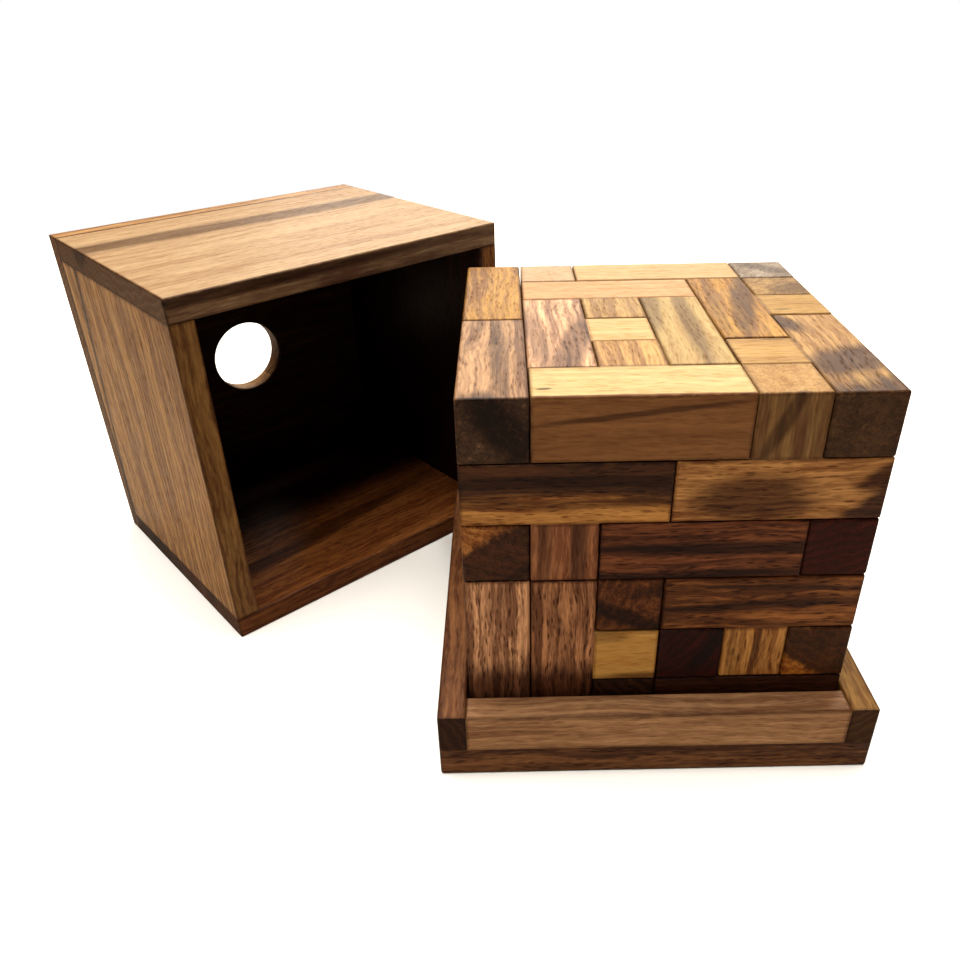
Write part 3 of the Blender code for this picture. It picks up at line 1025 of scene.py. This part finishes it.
@dataclass
class PackedCube:
    """The fifty-four T pieces, each shown as its bar and its block."""

    form: TeeForm = field(default_factory=TeeForm)
    play: float = 0.00010
    tilt: float = math.radians(0.07)
    seed: int = 5
    with_heart: float = 0.30
    with_streak: float = 0.45

    def build(self, shop: WoodShop) -> int:
        """Model, place and dress every T.

        Args:
            shop: gives the materials.

        Returns:
            The number of pieces made.
        """
        dice = random.Random(self.seed)
        bars = [self.form.bar(ease) for ease in self.form.eases]
        blocks = [self.form.block(ease) for ease in self.form.eases]
        to_side = Matrix.Translation((0, UNIT - PIECE_GAP / 2 - self.form.glue_line / 2, 0))
        to_block = to_side @ Matrix.Rotation(math.pi / 2, 4, "Z")
        made = 0
        for name in sorted(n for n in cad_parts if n.startswith("tee_")):
            cells = find_cells(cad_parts[name])
            bar_timber, block_timber = self._timbers(cells, dice)
            shift = Matrix.Translation([dice.uniform(-self.play, self.play) for _ in range(3)])
            lean = Matrix.Rotation(dice.uniform(-self.tilt, self.tilt), 4, dice.choice("XYZ"))
            place = self._frame(cells, shift, lean)
            which = dice.randrange(len(bars))
            turn = Matrix.Rotation(dice.choice((0, math.pi)), 4, "Y")
            bar = copy_piece(bars[which], f"{name}_bar")
            Stick(bar, bar_timber, place @ turn).dress(shop, dice)
            block = copy_piece(blocks[which], f"{name}_block")
            Stick(block, block_timber, place @ to_block).dress(shop, dice)
            for piece in (bar, block):
                join_frame(piece, name, name)
                made += 1
            logger.info("%s: bar %s, block %s", name, bar_timber.tone.value, block_timber.tone.value)
        for master in bars + blocks:
            bpy.data.objects.remove(master, do_unlink=True)
        return made

    def _timbers(self, cells: TeeCells, dice: random.Random) -> tuple[Timber, Timber]:
        """Choose the timbers of a T: what shows where it shows, and spare stuff where it doesn't.

        Args:
            cells: where the T lies.
            dice: draws the spare stuff, which is drawn in any case.

        Returns:
            The timbers of its bar and its block.
        """
        spare = [self._spare(dice, cells.bar[1]), self._spare(dice, cells.block)]
        bar, block = SHOWING.get(cells.bar[0], (None, None)) if self._is_showing(cells) else (None, None)
        for cell in cells.bar:
            bar = SHOWING_ALONE.get(cell, bar)
        block = SHOWING_ALONE.get(cells.block, block)
        return bar or spare[0], block or spare[1]

    def _spare(self, dice: random.Random, cell: Cell) -> Timber:
        """Draw the timber of a piece that the others hide: some have heartwood, some a dark streak.

        Args:
            dice: draws everything.
            cell: a cell that the piece fills.

        Returns:
            The timber.
        """
        tone = dice.choice([Tone.STRAW, Tone.PEACH, Tone.TAN, Tone.GOLDEN, Tone.ORANGE, Tone.ROSE,
                            Tone.BROWN, Tone.BROWN, Tone.RED, Tone.UMBER])
        shade = dice.uniform(0.62, 0.98)
        tint = (shade, shade * dice.uniform(0.80, 0.92), shade * dice.uniform(0.48, 0.74))
        near = tuple(c + 0.5 + dice.uniform(-0.5, 0.5) for c in cell)
        way = tuple(dice.uniform(-1.0, 1.0) for _ in range(3))
        kind = dice.random()
        if kind < self.with_heart:
            return Timber(tone, tint, heart=Heart(way, near, dice.uniform(1.0, 2.5)))
        if kind < self.with_heart + self.with_streak:
            reach = (dice.uniform(0.5, 1.6), dice.uniform(0.12, 0.35))
            return Timber(tone, tint, spots=(Spot(near, way, reach, dice.uniform(0.5, 0.9)),))
        return Timber(tone, tint)

    def _is_showing(self, cells: TeeCells) -> bool:
        """Say whether a bar lies along the cube's top or its front, where three of its cells show."""
        return all(c[2] == UNITS - 1 for c in cells.bar) or all(c[1] == 0 for c in cells.bar)

    def _frame(self, cells: TeeCells, shift: Matrix, lean: Matrix) -> Matrix:
        """Work out where a T's own axes lie.

        Args:
            cells: where the T lies.
            shift: its play in the cube.
            lean: how it leans in the cube.

        Returns:
            The matrix from its own axes to the row's frame.
        """
        middle = cell_point(tuple(c + 0.5 for c in cells.bar[1]))
        along = Vector(cells.bar[1]) - Vector(cells.bar[0])
        out = Vector(cells.block) - Vector(cells.bar[1])
        turn = Matrix((along, out, along.cross(out))).transposed().to_4x4()
        return shift @ Matrix.Translation(middle) @ turn @ lean


# ------------------------------------------------------------------------------------------ the boards


@dataclass
class Board:
    """One board: its corners in the axes of its sub-assembly, and the way that its grain runs."""

    name: str
    low: Triple
    high: Triple
    grain: str
    timber: Timber
    node: str

    def model(self, ease: float, wanted: EdgeTest) -> tuple[bpy.types.Object, Matrix]:
        """Model the board in its own axes, with its grain along X.

        Args:
            ease: how far its rounded edges reach.
            wanted: picks its free edges, in the sub-assembly's axes.

        Returns:
            The object, and the matrix back to the sub-assembly's axes.
        """
        low, high = Vector(self.low), Vector(self.high)
        middle = (low + high) / 2
        turn = {"X": Matrix.Identity(3), "Y": Matrix.Rotation(math.pi / 2, 3, "Z"),
                "Z": Matrix.Rotation(-math.pi / 2, 3, "Y")}[self.grain]
        back = Matrix.Translation(middle) @ turn.to_4x4()
        half = Vector([abs(c) / 2 for c in turn.inverted() @ (high - low)])
        obj = add_block_form(self.name, -half, half)
        ease_edges(obj, ease, lambda m, way: wanted(back @ m, (turn @ way).normalized()))
        keep_flats(obj)
        return obj, back


@dataclass
class Tray:
    """The shallow square tray: a base board, two full side rails, and two rails between them."""

    outer: float = 0.140
    board: float = BOARD
    base: float = BASE_THICK
    rail: float = 0.0145
    ease: float = 0.0007
    seam: float = 0.00005

    def boards(self) -> list[Board]:
        """List the five boards."""
        half, top, s = self.outer / 2, self.base + self.rail, self.seam
        inner = half - self.board
        return [
            Board("tray_base_board", (-half, -half, 0), (half, half, self.base - s), "X",
                  Timber(Tone.BROWN, (0.57, 0.51, 0.40), log=61), "tray"),
            Board("tray_left_rail", (-half, -half, self.base), (-inner, half, top), "Y",
                  Timber(Tone.ROSE, (0.46, 0.37, 0.26), ends=1.7, log=62), "tray"),
            Board("tray_right_rail", (inner, -half, self.base), (half, half, top), "Y",
                  Timber(Tone.TAN, (0.58, 0.56, 0.32), ends=1.7, log=63), "tray"),
            Board("tray_front_rail", (-inner + s, -half, self.base), (inner - s, -inner, top), "X",
                  Timber(Tone.TAN, (1.01, 1.05, 1.22), spots=(
                      # Painted shade: darkens the top face of the tray's front rail, in front of the cube.
                      Spot((3, -0.3, 0.725), (0, 0, 1), (0.09, 6.0), 0.55),), log=64), "tray"),
            Board("tray_back_rail", (-inner + s, inner, self.base), (inner - s, half, top), "X",
                  Timber(Tone.GOLDEN, (0.8, 0.8, 0.8), log=65), "tray"),
        ]

    def build(self, shop: WoodShop, dice: random.Random) -> int:
        """Model, place and dress the tray's boards.

        Args:
            shop: gives the materials.
            dice: draws the logs of boards that name none.

        Returns:
            The number of boards.
        """
        half, top = self.outer / 2, self.base + self.rail

        def free(middle: Vector, way: Vector) -> bool:
            """Round the tray's outer and upper edges, and leave the glued joints sharp."""
            if middle.z > top - TOUCH and abs(way.z) < 0.5:
                return abs(middle.x) < half - self.board - MM or abs(way.y) > 0.5
            at_corner = abs(middle.x) > half - TOUCH and abs(middle.y) > half - TOUCH
            return at_corner or middle.z < TOUCH

        boards = self.boards()
        for board in boards:
            obj, back = board.model(self.ease, free)
            Stick(obj, board.timber, back).dress(shop, dice)
            join_frame(obj, "tray", board.node)
            logger.info("%s: %s", board.name, board.timber.tone.value)
        return len(boards)


@dataclass
class Cover:
    """The box cover, lying on one wall: four walls around its cavity and a top panel with a finger hole."""

    outer: float = 0.140
    depth: float = 0.115
    board: float = BOARD
    joint: float = 0.00006
    ease: float = 0.0006
    hole_radius: float = 0.0165
    corner: tuple[float, float] = (-0.1542, -0.0008)
    turn: float = math.radians(41.5)

    def place(self) -> Matrix:
        """Return the matrix from the cover's own axes to the row's frame."""
        return Matrix.Translation((*self.corner, 0)) @ Matrix.Rotation(self.turn, 4, "Z")

    def cells(self, u: float, v: float, w: float) -> Triple:
        """Turn a place in the cover's own axes, in metres, into the cube's units."""
        point = self.place() @ Vector((u, v, w))
        half = UNITS / 2
        return (point.x / UNIT + half, point.y / UNIT + half, (point.z - BASE_THICK) / UNIT)

    def boards(self) -> list[Board]:
        """List the four walls, as they lie, and the top panel, which stands at the back."""
        full, wall, j, panel = self.outer, self.board, self.joint, self.depth - self.board
        deep, middle = panel - self.joint, self.outer / 2
        # One thin dark line runs down the left wall and on into the panel's edge.
        long_line = self._spot((0, 0.1005, 0.066), (0, -0.155, 1), (0.130, 0.0020), 0.95)
        return [
            Board("cover_lower_board", (0, 0, 0), (full, deep, wall), "X",
                  Timber(Tone.GOLDEN, (0.36, 0.25, 0.20), spots=(
                      self._spot((0.045, 0.030, wall), (1, 0.12, 0), (0.090, 0.006), 0.85),
                      # Painted shade: darkens the far half of the board's inner face, deep inside the cover.
                      self._spot((0.085, 0.092, wall), (1, 0.10, 0), (0.140, 0.046), 1.0)), log=71),
                  "cover_lower_wall"),
            Board("cover_upper_board", (0, 0, full - wall), (full, deep, full), "X",
                  Timber(Tone.PEACH, (0.68, 0.77, 0.97), heart=self._heartwood_and_painted_shade((0, -1, 0), (0, 0.0003, 0), 4.0),
                         spots=(
                             self._spot((middle, 0.0775, full), (1, -0.02, 0), (0.400, 0.0080), 0.75),
                             self._spot((0.020, 0, full - 0.0022), (1, 0, 0), (0.110, 0.0022), 0.85)),
                         ends=1.5, log=72),
                  "cover_upper_wall"),
            Board("cover_left_board", (0, 0, wall + j), (wall, deep, full - wall - j), "Z",
                  Timber(Tone.ORANGE, (0.98, 1.10, 1.01), spots=(
                      # The second spot is painted shade: it darkens the wall's front edge, at the cover's
                      # mouth.
                      long_line, self._spot((0, 0, middle), (0, 1, 0), (0.0013, 0.300), 0.64)), log=73),
                  "cover_left_wall"),
            Board("cover_right_board", (full - wall, 0, wall + j), (full, deep, full - wall - j), "Z",
                  Timber(Tone.GOLDEN, (0.55, 0.44, 0.30),
                         # Painted shade: the heart and the spot darken the wall's inner face.
                         heart=self._heartwood_and_painted_shade((-1, 0, 0), (full - wall + 0.0012, 0, 0), 4.0), spots=(
                             self._spot((full - wall, 0.075, middle), (1, 0, 0), (0.004, 0.120), 0.9),),
                         log=74),
                  "cover_right_wall"),
            Board("cover_top_board", (0, panel, 0), (full, self.depth, full), "X",
                  Timber(Tone.TAN, (0.78, 0.82, 0.86),
                         # Painted shade: the heart and the first spot darken the panel's inner face.
                         heart=self._heartwood_and_painted_shade((0, -1, 0), (0, panel + 0.0004, 0), 6.0), spots=(
                             self._spot((middle, panel, middle), (0, 1, 0), (0.0009, 0.300), 0.95),
                             long_line),
                         log=75),
                  "cover_top_panel"),
        ]

    def _heartwood_and_painted_shade(self, normal: Triple, place: Triple, firm: float) -> Heart:
        """Say where heartwood begins in the cover's own axes and metres; on the right wall and the top panel
        it is painted shade on the inner face.
        """
        way = Matrix.Rotation(self.turn, 3, "Z") @ Vector(normal)
        return Heart(tuple(way), self.cells(*place), firm)

    def _spot(self, place: Triple, along: Triple, reach: tuple[float, float], depth: float) -> Spot:
        """Say where a streak, a blotch or a patch of painted shade lies in the cover's own axes and metres.
        """
        way = Matrix.Rotation(self.turn, 3, "Z") @ Vector(along)
        return Spot(self.cells(*place), tuple(way), (reach[0] / UNIT, reach[1] / UNIT), depth)

    def build(self, shop: WoodShop, dice: random.Random) -> int:
        """Model, place and dress the cover's boards.

        Args:
            shop: gives the materials.
            dice: draws the logs of boards that name none.

        Returns:
            The number of boards.
        """
        full, wall = self.outer, self.board

        def free(middle: Vector, way: Vector) -> bool:
            """Round the box's outside edges and its mouth, and leave the glued joints sharp."""
            x, y, z = middle
            sides = (x, x - full, y, y - self.depth, z, z - full)
            if sum(abs(side) < TOUCH for side in sides) >= 2:
                return True
            return abs(y) < TOUCH and all(wall - TOUCH < c < full - wall + TOUCH for c in (x, z))

        boards = self.boards()
        for board in boards:
            obj, back = board.model(self.ease, free)
            if board.node == "cover_top_panel":
                self._bore(obj)
            Stick(obj, board.timber, self.place() @ back).dress(shop, dice)
            join_frame(obj, "cover", board.node)
            logger.info("%s: %s", board.name, board.timber.tone.value)
        return len(boards)

    def _bore(self, obj: bpy.types.Object) -> None:
        """Bore the finger hole through the top panel's middle, and round both of its rims.

        Args:
            obj: the panel, centred on the origin, with its thickness along Y.
        """
        bpy.ops.object.select_all(action="DESELECT")
        bpy.ops.mesh.primitive_cylinder_add(vertices=96, radius=self.hole_radius, depth=4 * self.board,
                                            location=(0, 0, 0), rotation=(math.pi / 2, 0, 0))
        drill = bpy.context.object
        cut = obj.modifiers.new("finger_hole", "BOOLEAN")
        cut.operation = "DIFFERENCE"
        cut.solver = "EXACT"
        cut.object = drill
        select_only(obj)
        bpy.ops.object.modifier_apply(modifier=cut.name)
        bpy.data.objects.remove(drill, do_unlink=True)

        def rim(middle: Vector, way: Vector) -> bool:
            """Pick the two rims of the hole."""
            return math.hypot(middle.x, middle.z) < self.hole_radius + MM and abs(way.y) < 0.1

        ease_edges(obj, self.ease * 1.6, rim)
        keep_flats(obj)


# ------------------------------------------------------------------------------------------ the studio


@dataclass(frozen=True)
class Softbox:
    """One soft light: where it stands and what it faces, its width and height, its power and its colour."""

    name: str
    place: Triple
    target: Triple
    size: tuple[float, float]
    power: float
    color: Color


@dataclass
class Studio:
    """A plain pale floor, soft lights and the camera."""

    floor_radius: float = 0.85
    room: float = 0.05
    softboxes: tuple[Softbox, ...] = (
        Softbox("back_softbox", (0.15, 1.25, 0.85), (-0.02, 0.02, 0.06), (1.5, 1.1), 18.0, (1.0, 0.94, 0.84)),
        Softbox("top_softbox", (-0.1, 0.1, 1.4), (-0.02, 0.02, 0.06), (1.4, 1.4), 54.0, (1.0, 0.94, 0.84)),
        Softbox("left_fill", (-1.15, -1.0, 0.5), (-0.05, 0.0, 0.06), (1.0, 0.8), 3.6, (1.0, 0.80, 0.62)),
    )
    eye: Triple = (-0.0460, -0.2550, 0.2217)
    eye_angles: Triple = (59.37, 0.88, -0.72)
    film_width: float = 36.0
    focal_length: float = 30.92
    side_shift: float = -0.032

    def build(self) -> None:
        """Make the floor, the world, the lights and the camera."""
        self._floor()
        self._world()
        for softbox in self.softboxes:
            self._light(softbox)
        self._camera()

    def _floor(self) -> None:
        """Add the floor, level with the table that the tray stands on, white only where it is looked at."""
        bpy.ops.object.select_all(action="DESELECT")
        bpy.ops.mesh.primitive_circle_add(vertices=128, radius=self.floor_radius, fill_type="NGON",
                                          location=(0, 0, 0))
        floor = bpy.context.object
        floor.name = "studio_floor"
        material = bpy.data.materials.new("studio_paper")
        material.use_nodes = True
        sockets = material.node_tree.nodes["Principled BSDF"].inputs
        w = Wiring(material.node_tree)
        seen = w.node("ShaderNodeLightPath").outputs["Is Camera Ray"]
        w.feed(sockets["Base Color"], w.mix(seen, (0.50, 0.44, 0.37, 1.0), (0.95, 0.95, 0.95, 1.0)))
        w.feed(sockets["Roughness"], 0.9)
        w.feed(sockets["Specular IOR Level"], 0.1)
        floor.data.materials.append(material)

    def _world(self) -> None:
        """Light the room dimly, and show a white backdrop behind the object."""
        world = bpy.data.worlds.new("studio_room")
        world.use_nodes = True
        bpy.context.scene.world = world
        w = Wiring(world.node_tree)
        background = world.node_tree.nodes["Background"].inputs
        seen = w.node("ShaderNodeLightPath").outputs["Is Camera Ray"]
        w.feed(background["Color"], (1.0, 1.0, 1.0, 1.0))
        w.feed(background["Strength"], w.times_plus(seen, 1.0 - self.room, self.room))
        bpy.context.scene.view_settings.view_transform = "Standard"

    def _light(self, softbox: Softbox) -> None:
        """Add an area light that faces its target."""
        data = bpy.data.lights.new(softbox.name, "AREA")
        data.shape = "RECTANGLE"
        data.size, data.size_y = softbox.size
        data.energy = softbox.power
        data.color = softbox.color
        lamp = bpy.data.objects.new(softbox.name, data)
        bpy.context.scene.collection.objects.link(lamp)
        lamp.location = softbox.place
        facing = Vector(softbox.target) - Vector(softbox.place)
        lamp.rotation_euler = facing.to_track_quat("-Z", "Y").to_euler()

    def _camera(self) -> None:
        """Add the camera, a hand's reach in front of the tray and looking down on it."""
        data = bpy.data.cameras.new("camera")
        data.sensor_width = self.film_width
        data.lens = self.focal_length
        data.shift_x = self.side_shift
        data.clip_start = 0.01
        camera = bpy.data.objects.new("camera", data)
        bpy.context.scene.collection.objects.link(camera)
        camera.location = self.eye
        camera.rotation_euler = [math.radians(angle) for angle in self.eye_angles]
        bpy.context.scene.camera = camera


def main() -> None:
    """Build every sub-assembly in order and report the pieces."""
    logging.basicConfig(level=logging.INFO, format="%(name)s: %(message)s")
    shop = WoodShop()
    shop.prepare()
    dice = random.Random(3)
    cube = PackedCube().build(shop)
    tray = Tray().build(shop, dice)
    cover = Cover().build(shop, dice)
    Studio().build()
    logger.info("%d cube pieces, %d tray boards, %d cover boards", cube, tray, cover)


if __name__ == "__main__":
    main()
